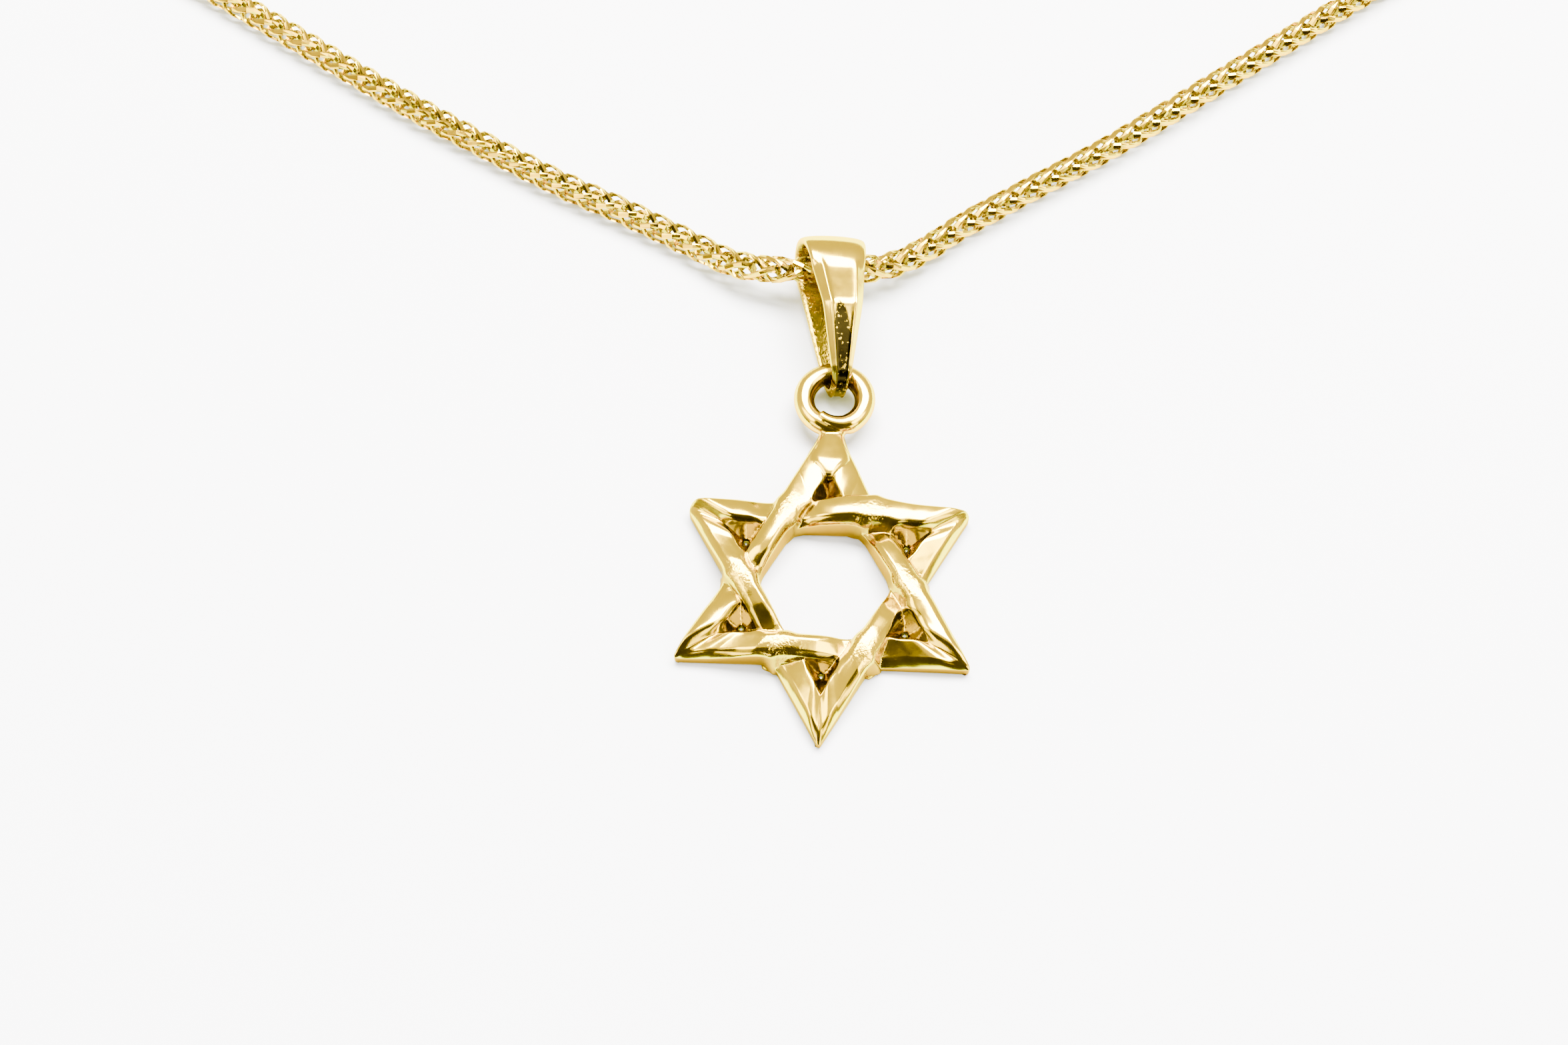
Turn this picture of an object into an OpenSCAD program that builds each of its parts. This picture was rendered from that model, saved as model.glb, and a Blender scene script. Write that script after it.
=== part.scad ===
// A star pendant of two interlaced triangles on a tapered bail, threaded on its woven chain.
// It lies on its back. The origin is the star's centre on its flat back, +Y points to the bail, +Z is up.
// All lengths are in millimetres.

/* [Star] */
// Length of each triangle's side, from tip to tip
star_side = 17; // [14:0.5:22]
// Width of a bar
bar_w = 1.45; // [1.3:0.05:1.6]
// Height of a bar's crest at the tips
tip_h = 1.9; // [1.75:0.05:2]
// Height of a bar's crest where it crosses over another
over_h = 2.25; // [2.1:0.05:2.4]
// Height of a bar's crest where it dips under another
under_h = 1.35; // [1.25:0.05:1.5]
// Height of the plain flat base under the rounded bars
base_h = 0.5; // [0.4:0.05:0.55]

/* [Top ring] */
// Outer diameter of the ring soldered to the top point
ring_d = 4.9; // [4.7:0.1:5.4]
// Thickness of the ring's wire
ring_wire = 1.25; // [1.1:0.05:1.3]
// Height of the wire's centre above the back
ring_lift = 1.4; // [1.35:0.05:1.5]
// Width of the neck where it meets the ring
neck_w = 1.1; // [1:0.05:1.25]
// Height of the neck's flat shoulders
neck_h = 1.3; // [1.1:0.05:1.4]

/* [Bail] */
// Length of the bail over all
bail_len = 10.5; // [9:0.5:13]
// Depth over all at its top bend
bail_depth = 4.3; // [4.2:0.1:5.2]
// Width of the strap at the top bend
bail_top_w = 4; // [3.2:0.1:4.8]
// Width of the strap at the lower bend
bail_end_w = 1.05; // [0.9:0.05:1.15]
// Thickness of the strap's crown at the top bend
bail_top_t = 0.6; // [0.45:0.05:0.65]
// Thickness of the strap's crown at the lower bend
bail_end_t = 0.5; // [0.45:0.05:0.55]
// Turn of the bail to the left of the star's upright, in degrees
bail_lean = 5.5; // [0:0.5:8]
// Roll of the bail about its own length, in degrees
bail_roll = 11; // [0:1:12]

/* [Chain] */
// Diameter of the woven chain
chain_d = 1.8; // [1.4:0.1:1.9]
// Width of the loop that the chain lies in
loop_w = 159; // [144:1:174]
// Length of that loop, from the bail to the clasp
loop_l = 133; // [121:1:145]

/* [Clasp] */
// Outer diameter of the clasp's round body
clasp_d = 6; // [5:0.5:8]
// Thickness of the body's wire
clasp_wire = 1.2; // [1:0.1:1.4]
// Outer diameter of the fixed eye
eye_d = 2.6; // [2.4:0.1:3]
// Thickness of the eye's wire
eye_wire = 0.6; // [0.5:0.05:0.7]
// Outer diameter of the rings at the chain's ends
end_ring_d = 3.9; // [3.7:0.1:4.5]
// Thickness of those rings' wire
end_ring_wire = 0.5; // [0.4:0.05:0.55]

/* [Hidden] */
$fn = 48;

GOLD = [0.86, 0.7, 0.36];
PALE_GOLD = [0.9, 0.76, 0.45];
DEEP_GOLD = [0.78, 0.6, 0.26];

// Clearance of the bail round the ring it hangs on, and of the chain inside the bail
slack = 0.41;
seat_slack = 0.08;
// Gap between pieces that only meet
gap = 0.05;

// Star: distance of the tips from the centre, and the angles of one triangle's tips
reach = star_side / sqrt(3);
TIPS = [90, 210, 330];
// The rounded bars stand this far inside the base's walls
inset = 0.02;
// Each triangle's band is sunk into the base by its own share of the base's height
SUNK = [0.35, 0.6];

// One side of a triangle, counter-clockwise from tip to tip: it rises over one bar and dips under the next.
// Columns: place as a share of the side, then the shares of over_h and of under_h in the crest's height there.
// What is left of the height comes from tip_h.
SIDE = [
    [0, 0, 1],
    [0.07, 0, 0],
    [0.12, 0.1, 0],
    [0.19, 0.45, 0],
    [0.26, 0.85, 0],
    [0.333, 1, 0],
    [0.41, 0.9, 0],
    [0.48, 0.6, 0],
    [0.54, 0.2, 0.1],
    [0.59, 0, 0.8],
    [0.667, 0, 1],
    [0.74, 0, 0.85],
    [0.8, 0, 0.3],
    [0.93, 0, 0]
];
// The sharp edges where the side walls turn into the rounded top, as shares of the crest's height:
// the outer edge is low and the inner edge high
outer_edge = 0.45;
inner_edge = 0.8;
// The top point rises by this much to meet its ring, over this share of a side
top_rise = 0.3;
top_reach = 0.2;
// Points across the rounded top, from the outer edge (0) to the inner (1)
ACROSS = [0, 0.07, 0.17, 0.3, 0.43, 0.57, 0.7, 0.83, 0.93, 1];
// How full the rounded top is: 1 is a half circle, more leaves a crease at the edge
fullness = 1.12;

// Ring: its centre line's radius, how far it bites into the top point, and its place a little to the right
ring_r = (ring_d - ring_wire) / 2;
ring_bite = 0.4;
ring_x = 0.15;
ring_y = reach + ring_d / 2 - ring_bite;
// The neck starts this far inside the top point, where its shoulders are wider by this factor
neck_foot = 2.8;
neck_flare = 3.4;

// Bail: inner radii of the lower and the top bend, and the distance between the bends' centres
bend_low = ring_wire / 2 + slack;
bend_top = bail_depth / 2 - bail_top_t;
bend_gap = bail_len - bend_low - bail_end_t - bend_top - bail_top_t;
flank = asin((bend_top - bend_low) / bend_gap);
// The bail hangs a little to the right on the ring, in degrees round the ring from its top, clear of the surface
bail_round = 3;
// The rolled strap rests on the low side of its crown
roll_share = 0.45;
bail_rest = bail_depth / 2 + roll_share * bail_top_w / 2 * sin(bail_roll);
bail_lift = bend_low + bail_end_t + gap;
bail_pitch = asin((bail_rest - bail_lift) / bend_gap);
bail_at = [ring_x + ring_r * sin(bail_round), ring_y + ring_r * cos(bail_round), bail_lift];
// The strap's outer face. Columns: place across as a share of the half width, and thickness as a share of the crown's
STRAP = [
    [-1, 0.5],
    [-0.82, 0.72],
    [-0.6, 0.88],
    [-0.3, 0.98],
    [0, 1],
    [0.3, 0.98],
    [0.6, 0.88],
    [0.82, 0.72],
    [1, 0.5]
];

// Chain: the centre of the bail's top bend, and the chain's seat in it
bend_at = bail_at + bend_gap * [-cos(bail_pitch) * sin(bail_lean), cos(bail_pitch) * cos(bail_lean), sin(bail_pitch)];
seat_room = bend_top - chain_d / 2 - seat_slack;
seat_turn = 30;
seat_at = bend_at + seat_room * [0, cos(seat_turn), -sin(seat_turn)];
lie = chain_d / 2 + gap / 2;

// The chain's route from its left end round through the bail, chosen by hand, in millimetres from the seat
// for a loop of the usual size. It is stretched to the loop's size.
// Columns: across, up the page, and how far it is lifted from the surface (0) to the seat's height (1)
USUAL_LOOP = [159, 133];
ROUTE = [
    [-7, 133, 0],
    [-22, 132, 0],
    [-40, 129, 0],
    [-57, 122, 0],
    [-71, 111, 0],
    [-81, 97, 0],
    [-86, 81, 0],
    [-85, 65, 0],
    [-79, 51, 0],
    [-69, 39.5, 0],
    [-56, 29.5, 0],
    [-46, 23.2, 0],
    [-36.8, 17.5, 0],
    [-27.1, 11.5, 0],
    [-18, 6.5, 0],
    [-13.5, 4.4, 0],
    [-9, 2.1, 0.05],
    [-6.5, 0.6, 0.4],
    [-4.7, -0.15, 0.85],
    [-2.5, -0.45, 1.17],
    [0, -0.18, 1.05],
    [2.4, 0.15, 0.78],
    [4.2, 0.95, 0.42],
    [6, 2.3, 0.12],
    [8.4, 4.3, 0],
    [12, 6.8, 0],
    [18.4, 11.2, 0],
    [27.5, 18.2, 0],
    [37, 25.5, 0],
    [47, 33, 0],
    [58, 42.5, 0],
    [67, 54, 0],
    [72, 67, 0],
    [73, 82, 0],
    [69, 97, 0],
    [60, 111, 0],
    [47, 122, 0],
    [31, 129.5, 0],
    [16, 132.5, 0]
];
chain_sides = 8;
steps = 2;

// Clasp, measured along the chain from its left end: the rings stand upright and carry the flat clasp
end_r = (end_ring_d - end_ring_wire) / 2;
end_lift = end_ring_d / 2;
clasp_r = (clasp_d - clasp_wire) / 2;
clasp_lift = end_ring_wire + clasp_wire / 2 + gap;
eye_r = (eye_d - eye_wire) / 2;
left_x = 2 * gap + end_ring_d / 2;
eye_x = left_x + sqrt(pow(end_r, 2) - pow(end_lift - clasp_lift, 2));
body_x = eye_x + eye_r + clasp_wire / 5 + clasp_r;
right_x = body_x + clasp_r + 2 * gap;
clasp_span = right_x + left_x;
stretch = [loop_w / USUAL_LOOP[0], loop_l / USUAL_LOOP[1]];
clasp_at = [seat_at[0] + stretch[0] * ROUTE[0][0], seat_at[1] + stretch[1] * ROUTE[0][1], 0];
knob_turn = 125;
knob_d = 0.7;
knob_out = 0.6;

function mix(a, b, t) = a + (b - a) * t;
function polar(r, angle) = r * [cos(angle), sin(angle)];

// Skin of a closed loop of rings, and of an open run of rings with flat ends
function ring_quads(rings, points, last) = [
    for (i = [0:last], j = [0:points - 1])
        let (a = i * points, b = (i + 1) % rings * points, k = (j + 1) % points)
            each [[a + j, b + k, b + j], [a + j, a + k, b + k]]
];
function loop_skin(rings, points) = ring_quads(rings, points, rings - 1);
function run_skin(rings, points) = concat(
    ring_quads(rings, points, rings - 2),
    [[for (j = [points - 1:-1:0]) j]],
    [[for (j = [0:points - 1]) (rings - 1) * points + j]]
);

// Rounded top: height share at a place across the bar
function round_share(v) =
    let (x = 2 * v - 1, low = sqrt(pow(fullness, 2) - 1))
        (sqrt(pow(fullness, 2) - pow(x, 2)) - low) / (fullness - low);

function crest_at(row) = row[1] * over_h + row[2] * under_h + (1 - row[1] - row[2]) * tip_h;

// One section of a bar, from the sunk outer foot over the top to the inner foot
function bar_section(side, row, foot, rise) =
    let (
        from = TIPS[side],
        to = TIPS[(side + 1) % 3],
        rim = reach - 2 * inset,
        core = reach - 2 * bar_w + 2 * inset,
        outer = mix(polar(rim, from), polar(rim, to), row[0]),
        inner = mix(polar(core, from), polar(core, to), row[0]),
        off_top = side == 0 ? row[0] : side == 2 ? 1 - row[0] : 1,
        crest = crest_at(row) + rise * max(0, 1 - off_top / top_reach)
    )
        concat(
            [[outer[0], outer[1], foot]],
            [for (v = ACROSS)
                let (p = mix(outer, inner, v), edge = mix(outer_edge, inner_edge, v) * crest)
                    [p[0], p[1], mix(edge, crest, round_share(v))]],
            [[inner[0], inner[1], foot]]
        );

module band(foot, rise) {
    sections = [for (side = [0:2], row = SIDE) bar_section(side, row, foot, rise)];
    polyhedron([for (s = sections) each s], loop_skin(len(sections), len(ACROSS) + 2));
}

module triangle(size) {
    polygon([for (angle = TIPS) polar(size, angle)]);
}

module star_outline() {
    for (turn = [0, 180])
        rotate(turn)
            difference() {
                triangle(reach);
                triangle(reach - 2 * bar_w);
            }
}

module neck() {
    long = ring_y - ring_r - reach + neck_foot;
    half = neck_w / 2;
    wide = half * neck_flare;
    translate([0, reach - neck_foot, 0]) {
        linear_extrude(neck_h)
            polygon([[-wide, 0], [wide, 0], [ring_x + half, long], [ring_x - half, long]]);
        translate([ring_x / 2, 0, neck_h])
            rotate([-90, 0, 0])
                cylinder(h = long, r = half - ring_x / 2);
    }
}

module torus(r, wire) {
    rotate_extrude()
        translate([r, 0])
            circle(d = wire);
}

module star() {
    color(GOLD) {
        linear_extrude(base_h)
            star_outline();
        for (k = [0, 1])
            rotate(180 * k)
                band(base_h * SUNK[k], top_rise * (1 - k));
        neck();
        translate([ring_x, ring_y, ring_lift])
            torus(ring_r, ring_wire);
    }
}

// Bail: one station of the inner loop, as place along, height and the direction that faces outwards
function bend_station(centre, r, angle) = [centre + r * cos(angle), r * sin(angle), angle];
function strap_section(station) =
    let (
        share = (station[0] + bend_low) / (bend_low + bend_gap + bend_top),
        half = mix(bail_end_w, bail_top_w, share) / 2,
        thick = mix(bail_end_t, bail_top_t, share)
    )
        concat(
            [for (p = STRAP)
                [p[0] * half, station[0] + thick * p[1] * cos(station[2]), station[1] + thick * p[1] * sin(station[2])]],
            [[half, station[0], station[1]], [-half, station[0], station[1]]]
        );

module bail() {
    turn = 90 + flank;
    round_turn = 360 - turn;
    top_steps = 14;
    low_steps = 8;
    side_steps = 5;
    front = [bend_station(bend_gap, bend_top, turn), bend_station(0, bend_low, turn)];
    back = [bend_station(0, bend_low, -turn), bend_station(bend_gap, bend_top, -turn)];
    stations = concat(
        [for (i = [0:top_steps]) bend_station(bend_gap, bend_top, mix(-turn, turn, i / top_steps))],
        [for (i = [1:side_steps - 1]) mix(front[0], front[1], i / side_steps)],
        [for (i = [0:low_steps]) bend_station(0, bend_low, mix(turn, round_turn, i / low_steps))],
        [for (i = [1:side_steps - 1]) mix(back[0], back[1], i / side_steps)]
    );
    color(PALE_GOLD)
        translate(bail_at)
            rotate([0, 0, bail_lean])
                rotate([bail_pitch, 0, 0])
                    rotate([0, bail_roll, 0])
                        polyhedron([for (s = stations) each strap_section(s)], loop_skin(len(stations), len(STRAP) + 2));
}

// Chain: the route's points in place, and a smooth curve through them
route = concat(
    [for (p = ROUTE) [seat_at[0] + stretch[0] * p[0], seat_at[1] + stretch[1] * p[1], mix(lie, seat_at[2], p[2])]],
    [[clasp_at[0] + clasp_span, clasp_at[1], lie]]
);
function curve(a, b, c, d, t) =
    0.5 * (2 * b + (c - a) * t + (2 * a - 5 * b + 4 * c - d) * pow(t, 2) + (3 * b - a - 3 * c + d) * pow(t, 3));
function route_at(i, t) =
    let (last = len(route) - 1)
        curve(
            i == 0 ? 2 * route[0] - route[1] : route[i - 1],
            route[i],
            route[i + 1],
            i + 2 > last ? 2 * route[last] - route[last - 1] : route[i + 2],
            t
        );
function cross_ring(centre, along) =
    let (side = cross(along, [0, 0, 1]) / norm(cross(along, [0, 0, 1])), up = cross(side, along) / norm(along))
        [for (k = [0:chain_sides - 1])
            centre + chain_d / 2 * (cos(360 * k / chain_sides) * side + sin(360 * k / chain_sides) * up)];

module chain() {
    last = len(route) - 1;
    path = concat(
        [for (i = [0:last - 1], j = [0:steps - 1]) route_at(i, j / steps)],
        [route[last]]
    );
    n = len(path);
    rings = [for (i = [0:n - 1]) cross_ring(path[i], path[min(i + 1, n - 1)] - path[max(i - 1, 0)])];
    color(DEEP_GOLD)
        polyhedron([for (r = rings) each r], run_skin(n, chain_sides));
}

module end_ring(x) {
    color(GOLD)
        translate(clasp_at + [x, 0, end_lift])
            rotate([90, 0, 0])
                torus(end_r, end_ring_wire);
}

module end_ring_left() {
    end_ring(left_x);
}

module end_ring_right() {
    end_ring(right_x);
}

module clasp() {
    color(GOLD)
        translate(clasp_at + [0, 0, clasp_lift]) {
            translate([eye_x, 0, 0])
                torus(eye_r, eye_wire);
            translate([body_x, 0, 0]) {
                torus(clasp_r, clasp_wire);
                rotate([0, 90, knob_turn])
                    translate([0, 0, clasp_r])
                        cylinder(h = clasp_wire / 2 + knob_out, d = knob_d);
            }
        }
}

star();
bail();
chain();
end_ring_left();
end_ring_right();
clasp();
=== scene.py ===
import math

import bmesh
import bpy
import numpy as np
from mathutils import Matrix, Vector


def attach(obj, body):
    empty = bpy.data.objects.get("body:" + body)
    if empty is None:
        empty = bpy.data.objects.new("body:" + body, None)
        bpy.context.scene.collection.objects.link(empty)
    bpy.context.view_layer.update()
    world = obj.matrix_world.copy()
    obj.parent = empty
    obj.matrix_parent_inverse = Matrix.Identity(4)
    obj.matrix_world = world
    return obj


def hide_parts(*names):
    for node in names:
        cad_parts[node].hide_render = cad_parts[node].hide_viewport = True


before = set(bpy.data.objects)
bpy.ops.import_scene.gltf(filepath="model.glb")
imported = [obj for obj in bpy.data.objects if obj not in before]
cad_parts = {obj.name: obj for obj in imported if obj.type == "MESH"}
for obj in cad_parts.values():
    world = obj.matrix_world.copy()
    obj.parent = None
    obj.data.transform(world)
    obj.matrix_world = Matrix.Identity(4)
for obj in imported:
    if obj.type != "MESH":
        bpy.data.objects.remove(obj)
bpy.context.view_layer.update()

# Lengths are in millimetres and angles in degrees, except where a name ends in _M, which is in metres
MM = 0.001

# Camera, found from the photo
CAM_AZIMUTH = 2.586
CAM_ELEVATION = 64.549
CAM_DISTANCE = 112.0
CAM_TARGET = (-2.552, 4.24, 0.0)
CAM_LENS = 43.484
CAM_SENSOR = 36
CAM_CLIP_M = (0.005, 50)

# Star, as in the part's source
STAR_SIDE = 17.0
BAR_W = 1.45
TIP_H = 1.9
OVER_H = 2.25
UNDER_H = 1.35
TOP_RISE = 0.3
TOP_REACH = 0.2
REACH = STAR_SIDE / math.sqrt(3)
# Along a side: place from 0 to 1, then the shares of OVER_H and UNDER_H in the height there.
# The rest is TIP_H.
SIDE = [
    (0, 0, 1), (0.07, 0, 0), (0.12, 0.1, 0), (0.19, 0.45, 0), (0.26, 0.85, 0), (0.333, 1, 0),
    (0.41, 0.9, 0), (0.48, 0.6, 0), (0.54, 0.2, 0.1), (0.59, 0, 0.8), (0.667, 0, 1),
    (0.74, 0, 0.85), (0.8, 0, 0.3), (0.93, 0, 0), (1, 0, 1),
]
# How blunt each tip is, by its direction
TIP_ROUND = {90: 0.3, 210: 0.14, 330: 0.14, 270: 0.14, 30: 0.26, 150: 0.5}

# Top ring, as in the part's source
RING_D = 4.9
RING_WIRE = 1.25
RING_LIFT = 1.4
RING_X = 0.15
RING_R = (RING_D - RING_WIRE) / 2
RING_Y = REACH + RING_D / 2 - 0.4

# Bail, as in the part's source
BAIL_LEN = 10.5
BAIL_DEPTH = 4.3
BAIL_TOP_W = 4.0
BAIL_END_W = 1.05
BAIL_TOP_T = 0.6
BAIL_END_T = 0.5
BAIL_LEAN = 5.5
BAIL_ROLL = 11.0
BAIL_ROUND = 3.0
SLACK = 0.41
GAP = 0.05
BEND_LOW = RING_WIRE / 2 + SLACK
BEND_TOP = BAIL_DEPTH / 2 - BAIL_TOP_T
BEND_GAP = BAIL_LEN - BEND_LOW - BAIL_END_T - BEND_TOP - BAIL_TOP_T
FLANK = math.asin((BEND_TOP - BEND_LOW) / BEND_GAP)
BAIL_REST = BAIL_DEPTH / 2 + 0.45 * BAIL_TOP_W / 2 * math.sin(math.radians(BAIL_ROLL))
BAIL_LIFT = BEND_LOW + BAIL_END_T + GAP
BAIL_PITCH = math.degrees(math.asin((BAIL_REST - BAIL_LIFT) / BEND_GAP))
BAIL_AT = np.array([
    RING_X + RING_R * math.sin(math.radians(BAIL_ROUND)),
    RING_Y + RING_R * math.cos(math.radians(BAIL_ROUND)),
    BAIL_LIFT,
])

# Chain and clasp, as in the part's source
CHAIN_D = 1.8
SEAT_TURN = 30.0
END_RING_D = 3.9
END_RING_WIRE = 0.5
CLASP_D = 6.0
CLASP_WIRE = 1.2
EYE_D = 2.6
EYE_WIRE = 0.6
KNOB_TURN = 125.0
# The chain's way round the neck, from its seat in the bail: x, y and share of the seat's height
ROUTE = [
    (-7, 133, 0), (-22, 132, 0), (-40, 129, 0), (-57, 122, 0), (-71, 111, 0), (-81, 97, 0),
    (-86, 81, 0), (-85, 65, 0), (-79, 51, 0), (-69, 39.5, 0), (-56, 29.5, 0), (-46, 23.2, 0),
    (-36.8, 17.5, 0), (-27.1, 11.5, 0), (-18, 6.5, 0), (-13.5, 4.4, 0), (-9, 2.1, 0.05),
    (-6.5, 0.6, 0.4), (-4.7, -0.15, 0.85), (-2.5, -0.45, 1.17), (0, -0.18, 1.05),
    (2.4, 0.15, 0.78), (4.2, 0.95, 0.42), (6, 2.3, 0.12), (8.4, 4.3, 0), (12, 6.8, 0),
    (18.4, 11.2, 0), (27.5, 18.2, 0), (37, 25.5, 0), (47, 33, 0), (58, 42.5, 0), (67, 54, 0),
    (72, 67, 0), (73, 82, 0), (69, 97, 0), (60, 111, 0), (47, 122, 0), (31, 129.5, 0), (16, 132.5, 0),
]
# Steps of the smooth curve between two rows of the route
CURVE_STEPS = 24


# Small helpers

def rotation(axis, degrees):
    return np.array(Matrix.Rotation(math.radians(degrees), 3, axis))


def direction(azimuth, elevation):
    """The unit vector towards a viewer or a lamp. Azimuth 0 is in front of the star, 180 behind it."""
    a, e = math.radians(azimuth), math.radians(elevation)
    return Vector((math.sin(a) * math.cos(e), -math.cos(a) * math.cos(e), math.sin(e)))


def unit(x):
    """x held between 0 and 1."""
    return np.clip(x, 0, 1)


def new_object(name, verts, faces, smooth=True):
    """A mesh object from points in millimetres."""
    mesh = bpy.data.meshes.new(name)
    mesh.from_pydata((np.asarray(verts, float) * MM).tolist(), [], [list(map(int, f)) for f in faces])
    mesh.update()
    mesh.polygons.foreach_set("use_smooth", [smooth] * len(mesh.polygons))
    obj = bpy.data.objects.new(name, mesh)
    bpy.context.scene.collection.objects.link(obj)
    return obj


def loop_faces(rings, points, closed=True):
    """Quads of a loft through rings of points. With closed, the last ring joins the first."""
    i = np.arange(rings if closed else rings - 1)[:, None]
    j = np.arange(points)[None, :]
    k = (j + 1) % points
    a, b = i * points, (i + 1) % rings * points
    return np.stack([a + j, a + k, b + k, b + j], axis=-1).reshape(-1, 4)


def outward(obj):
    """Turns every face of a closed mesh to look outwards."""
    bm = bmesh.new()
    bm.from_mesh(obj.data)
    bmesh.ops.recalc_face_normals(bm, faces=bm.faces)
    bm.to_mesh(obj.data)
    bm.free()
    return obj


def fuse(first, others):
    """One closed, smoothly shaded skin of several overlapping closed pieces."""
    for other in others:
        mod = first.modifiers.new("join", "BOOLEAN")
        mod.operation = "UNION"
        mod.solver = "MANIFOLD"
        mod.object = other
    bpy.context.view_layer.update()
    done = bpy.data.meshes.new_from_object(first.evaluated_get(bpy.context.evaluated_depsgraph_get()))
    first.modifiers.clear()
    old = first.data
    first.data = done
    bpy.data.meshes.remove(old)
    for other in others:
        bpy.data.objects.remove(other)
    done.polygons.foreach_set("use_smooth", [True] * len(done.polygons))
    return first


def hashed(n):
    """Fixed pseudo-random numbers from 0 to 1."""
    v = np.sin(np.asarray(n, float) * 127.1 + 311.7) * 43758.5453
    return v - np.floor(v)


def wave(p, scale, seed):
    """Smooth uneven relief: a sum of slanted waves, about -1 to 1."""
    total = np.zeros(len(p))
    for i in range(5):
        h = hashed(np.arange(4) + seed * 17 + i * 5)
        d = np.array([h[0] - 0.5, h[1] - 0.5, h[2] - 0.5])
        d /= np.linalg.norm(d) + 1e-9
        total += np.sin((p @ d) * 2 * math.pi / scale * (0.7 + 0.6 * h[3]) + 6.28 * h[0])
    return total / 3.2


def catmull(a, b, c, d, t):
    """A smooth curve through b (t = 0) and c (t = 1)."""
    cubic = (3 * b - a - 3 * c + d) * t ** 3
    return 0.5 * (2 * b + (c - a) * t + (2 * a - 5 * b + 4 * c - d) * t ** 2 + cubic)


def spread(values, width, reach):
    """Evens out a row of values that runs in a closed loop."""
    steps = np.arange(-reach, reach + 1)
    kernel = np.exp(-0.5 * (steps / width) ** 2)
    wide = np.concatenate([values[-reach:], values, values[:reach]])
    return np.convolve(wide, kernel / kernel.sum(), mode="valid")


def set_attribute(obj, name, values):
    layer = obj.data.attributes.get(name) or obj.data.attributes.new(name, "FLOAT", "POINT")
    layer.data.foreach_set("value", np.asarray(values, np.float32))


def points_of(obj):
    co = np.zeros(len(obj.data.vertices) * 3)
    obj.data.vertices.foreach_get("co", co)
    return co.reshape(-1, 3) / MM


def facing_up(obj):
    """How far each point's normal looks up, from -1 to 1."""
    return np.array([v.normal.z for v in obj.data.vertices])


def blob_run(name, stations, points=36, square=1.0):
    """A closed run of ellipses, or of fuller sections with square under 1.
    A station is (centre, across vector, up vector)."""
    a = 2 * math.pi * np.arange(points) / points
    wide = (np.sign(np.cos(a)) * np.abs(np.cos(a)) ** square)[:, None]
    high = (np.sign(np.sin(a)) * np.abs(np.sin(a)) ** square)[:, None]
    rings = [c + wide * np.asarray(u) + high * np.asarray(v) for c, u, v in stations]
    faces = list(loop_faces(len(rings), points, closed=False))
    for end in (0, len(rings) - 1):
        faces.append([end * points + i for i in range(points)])
    return outward(new_object(name, np.concatenate(rings), faces))


def torus(name, centre, r, wire, rings, points, turn=None):
    """A plain wire ring of middle radius r, flat unless turned."""
    a = (2 * math.pi * np.arange(rings) / rings)[:, None]
    b = (2 * math.pi * np.arange(points) / points)[None, :]
    out = r + wire / 2 * np.cos(b)
    up = wire / 2 * np.sin(b) * np.ones_like(a)
    verts = np.stack([out * np.cos(a), out * np.sin(a), up], axis=-1).reshape(-1, 3)
    if turn is not None:
        verts = verts @ turn.T
    return outward(new_object(name, verts + np.asarray(centre), loop_faces(rings, points)))


# Star

CORE = REACH - 2 * BAR_W
INNER_SIDE = CORE * math.sqrt(3)
# From the star's centre to the middles of its small windows and of its crossings
WINDOW_R = REACH / 2 + (CORE - REACH / 2) / 3
CROSSING_R = (REACH - BAR_W) / math.sqrt(3)
# Half of a crossing's length along a side, as a share of the side
CROSSING_SHARE = BAR_W / math.sqrt(3) / STAR_SIDE
SIDE_SAMPLES = 190
# The side walls: height as a share of the crease, and how far the foot is rounded in
WALL = np.array([
    (0.0, 0.26), (0.03, 0.14), (0.09, 0.05), (0.18, 0.01), (0.35, 0.0),
    (0.55, 0.0), (0.75, 0.0), (0.9, 0.0), (0.965, 0.0),
])
# A bar is known by its triangle's turn and its side: the level one at the top, and the two at the top point
TOP_BAR = (180, 1)
POINT_BARS = ((0, 0), (0, 2))
# How high each bar's outer crease is, from low like those of the lower bars (0)
# to high like the top bar's (1)
HIGH_EDGE = {(0, 0): 0.8, (0, 1): 0.0, (0, 2): 0.55, (180, 0): 0.0, (180, 1): 1.0, (180, 2): 0.1}
# Where the top bar swells, as a share of its side, how much, and over what half width
SWELL_AT = 0.38
SWELL = 0.1
SWELL_WIDTH = 1.8
# How far the walls lean out at their feet, at least and in all: the outer walls and the inner ones
LEAN_OUT = (0.02, 0.54)
LEAN_IN = (0.1, 0.7)
# How uneven the cast bars are
UNEVEN = 0.008
FINE_UNEVEN = 0.002

# The top point widens into a neck that carries the ring: y, x, half width, underside and top
NECK = [
    (6.42, -0.04, 0.2, 0.2, 1.6), (6.44, -0.04, 0.35, 0.05, 1.86), (6.49, -0.04, 0.45, 0.03, 1.99),
    (6.6, -0.04, 0.56, 0.02, 2.05), (6.8, -0.04, 0.74, 0.02, 2.08), (7.0, -0.05, 0.92, 0.02, 2.1),
    (7.2, -0.05, 1.08, 0.02, 2.115), (7.35, -0.06, 1.2, 0.02, 2.118), (7.5, -0.06, 1.32, 0.02, 2.11),
    (7.7, -0.06, 1.38, 0.04, 2.08), (8.0, -0.05, 1.36, 0.04, 2.02), (8.35, -0.03, 1.24, 0.04, 1.95),
    (8.7, 0.0, 1.07, 0.06, 1.88), (9.05, 0.02, 0.92, 0.1, 1.8), (9.35, 0.04, 0.82, 0.2, 1.72),
    (9.6, 0.06, 0.77, 0.35, 1.64), (9.85, 0.08, 0.75, 0.5, 1.56), (10.05, 0.1, 0.7, 0.7, 1.47),
]
NECK_POINTS = 48
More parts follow.
